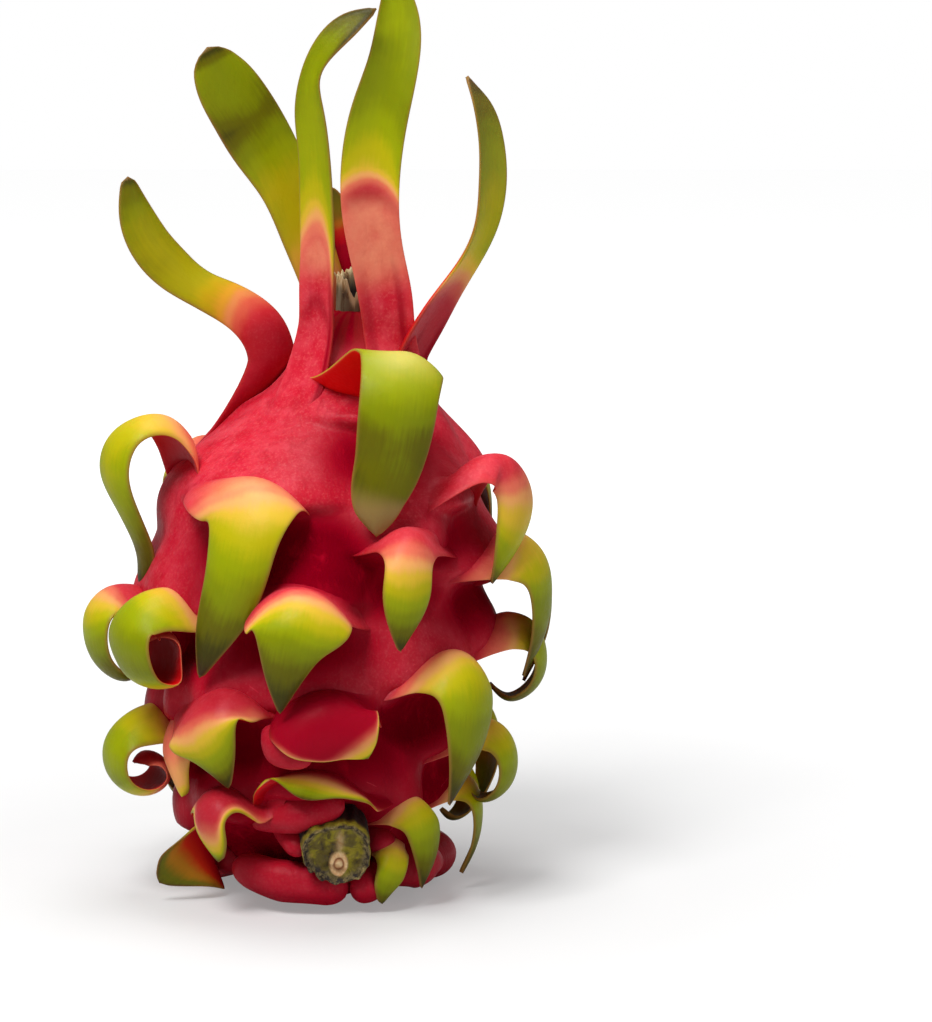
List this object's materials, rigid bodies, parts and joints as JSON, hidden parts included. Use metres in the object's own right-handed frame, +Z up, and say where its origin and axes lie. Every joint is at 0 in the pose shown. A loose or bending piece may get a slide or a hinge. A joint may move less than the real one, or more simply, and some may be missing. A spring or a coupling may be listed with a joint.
{
  "type": "dragon fruit",
  "caption": "Whole red dragon fruit standing on its base: egg-shaped body with long upright straps at the neck, curling leafy scales, a cut stalk end and a withered flower.",
  "frame": {"origin": "centre of the flat spot under the body that the fruit rests on", "axes": "+Z up along the standing fruit, towards the straps; -Y is the side that shows the cut stalk; +X is to the right of that side"},
  "size_m": [0.1181, 0.1223, 0.2303],
  "materials": {
    "skin": "waxy skin, pinkish red, turning yellow-green and olive along the scales",
    "cut_stalk": "dried olive-brown cut with a pale core",
    "dry_flower": "withered, papery, brown and cream"
  },
  "bodies": {
    "root": {"fruit": "skin", "stalk_end": "cut_stalk", "flower_remnant": "dry_flower"}
  },
  "joints": []
}
